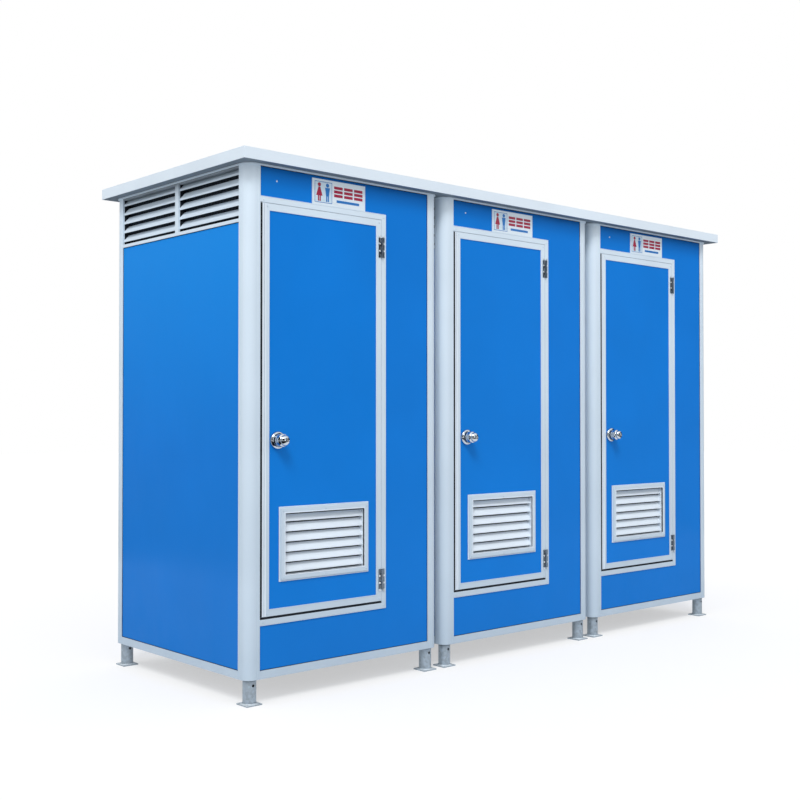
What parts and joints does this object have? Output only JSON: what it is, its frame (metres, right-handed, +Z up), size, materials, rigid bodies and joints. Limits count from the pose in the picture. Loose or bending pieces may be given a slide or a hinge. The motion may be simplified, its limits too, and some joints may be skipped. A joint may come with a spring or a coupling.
{
  "type": "toilet container",
  "caption": "Row of free-standing toilet cabins with hinged louvred doors, side ventilation, a flat overhanging roof and squat pans, on anchored feet.",
  "frame": {"origin": "on the ground under the middle of the whole row's box, with the doors closed", "axes": "+X runs along the row to the right as seen from the doors, +Y from the door side to the rear, +Z up"},
  "size_m": [3.36, 1.217, 2.25],
  "materials": {
    "wall_blue": "satin",
    "door_blue": "satin",
    "trim_white": "satin",
    "zinc": "matte",
    "hinge_steel": "satin",
    "chrome": "polished",
    "sign_plastic": "gloss",
    "sanitary_plastic": "gloss",
    "ceramic": "gloss",
    "floor_grey": "matte"
  },
  "bodies": {
    "cabins": {"feet": "zinc", "base_spacers": "zinc", "side_louvres": "trim_white", "top_frames": "trim_white", "roof_fascia": "trim_white", "roof_joint_strips": "trim_white", "sign_plates": "sign_plastic", "jamb_hinge_leaves": "hinge_steel", "floor_decks": "floor_grey", "squat_pans": "ceramic", "flush_pipes": "sanitary_plastic", "cisterns": "sanitary_plastic", "base_frame_1": "trim_white", "corner_posts_1": "trim_white", "side_walls_1": "wall_blue", "rear_wall_1": "wall_blue", "front_wall_1": "wall_blue", "roof_panel_1": "trim_white", "door_frame_1": "trim_white", "base_frame_2": "trim_white", "corner_posts_2": "trim_white", "side_walls_2": "wall_blue", "rear_wall_2": "wall_blue", "front_wall_2": "wall_blue", "roof_panel_2": "trim_white", "door_frame_2": "trim_white", "base_frame_3": "trim_white", "corner_posts_3": "trim_white", "side_walls_3": "wall_blue", "rear_wall_3": "wall_blue", "front_wall_3": "wall_blue", "roof_panel_3": "trim_white", "door_frame_3": "trim_white"},
    "door_1": {"door_hinge_leaves_1": "hinge_steel", "door_trim_1": "trim_white", "door_panel_1": "door_blue", "door_louvre_1": "trim_white", "knob_roses_1": "chrome"},
    "knob_1": {"outer_knob_1": "chrome", "inner_knob_1": "chrome"},
    "latch_1": {"latch_bolt_1": "hinge_steel"},
    "button_1": {"flush_button_1": "chrome"},
    "door_2": {"door_hinge_leaves_2": "hinge_steel", "door_trim_2": "trim_white", "door_panel_2": "door_blue", "door_louvre_2": "trim_white", "knob_roses_2": "chrome"},
    "knob_2": {"outer_knob_2": "chrome", "inner_knob_2": "chrome"},
    "latch_2": {"latch_bolt_2": "hinge_steel"},
    "button_2": {"flush_button_2": "chrome"},
    "door_3": {"door_hinge_leaves_3": "hinge_steel", "door_trim_3": "trim_white", "door_panel_3": "door_blue", "door_louvre_3": "trim_white", "knob_roses_3": "chrome"},
    "knob_3": {"outer_knob_3": "chrome", "inner_knob_3": "chrome"},
    "latch_3": {"latch_bolt_3": "hinge_steel"},
    "button_3": {"flush_button_3": "chrome"}
  },
  "joints": [
    {"name": "door_1_swing", "type": "hinge", "parent": "cabins", "child": "door_1", "pos_m": [-0.9155, -0.5475, 1.1995], "axis": [0, 0, 1], "range_deg": [0, 110]},
    {"name": "knob_1_turn", "type": "hinge", "parent": "door_1", "child": "knob_1", "pos_m": [-1.48, -0.5415, 1.073], "axis": [0, 1, 0], "range_deg": [0, 50]},
    {"name": "latch_1_slide", "type": "slide", "parent": "door_1", "child": "latch_1", "axis": [-1, 0, 0], "range_m": [0, 0.0105]},
    {"name": "button_1_press", "type": "slide", "parent": "cabins", "child": "button_1", "axis": [0, 0, -1], "range_m": [0, 0.006], "stiffness_N_per_m": 400, "springref_m": -0.004},
    {"name": "door_2_swing", "type": "hinge", "parent": "cabins", "child": "door_2", "pos_m": [0.1845, -0.5475, 1.1995], "axis": [0, 0, 1], "range_deg": [0, 110]},
    {"name": "knob_2_turn", "type": "hinge", "parent": "door_2", "child": "knob_2", "pos_m": [-0.38, -0.5415, 1.073], "axis": [0, 1, 0], "range_deg": [0, 50]},
    {"name": "latch_2_slide", "type": "slide", "parent": "door_2", "child": "latch_2", "axis": [-1, 0, 0], "range_m": [0, 0.0105]},
    {"name": "button_2_press", "type": "slide", "parent": "cabins", "child": "button_2", "axis": [0, 0, -1], "range_m": [0, 0.006], "stiffness_N_per_m": 400, "springref_m": -0.004},
    {"name": "door_3_swing", "type": "hinge", "parent": "cabins", "child": "door_3", "pos_m": [1.2845, -0.5475, 1.1995], "axis": [0, 0, 1], "range_deg": [0, 110]},
    {"name": "knob_3_turn", "type": "hinge", "parent": "door_3", "child": "knob_3", "pos_m": [0.72, -0.5415, 1.073], "axis": [0, 1, 0], "range_deg": [0, 50]},
    {"name": "latch_3_slide", "type": "slide", "parent": "door_3", "child": "latch_3", "axis": [-1, 0, 0], "range_m": [0, 0.0105]},
    {"name": "button_3_press", "type": "slide", "parent": "cabins", "child": "button_3", "axis": [0, 0, -1], "range_m": [0, 0.006], "stiffness_N_per_m": 400, "springref_m": -0.004}
  ],
  "couplings": [
    {"joint": "latch_1_slide", "follows": "knob_1_turn", "m_per_rad": 0.012},
    {"joint": "latch_2_slide", "follows": "knob_2_turn", "m_per_rad": 0.012},
    {"joint": "latch_3_slide", "follows": "knob_3_turn", "m_per_rad": 0.012}
  ]
}
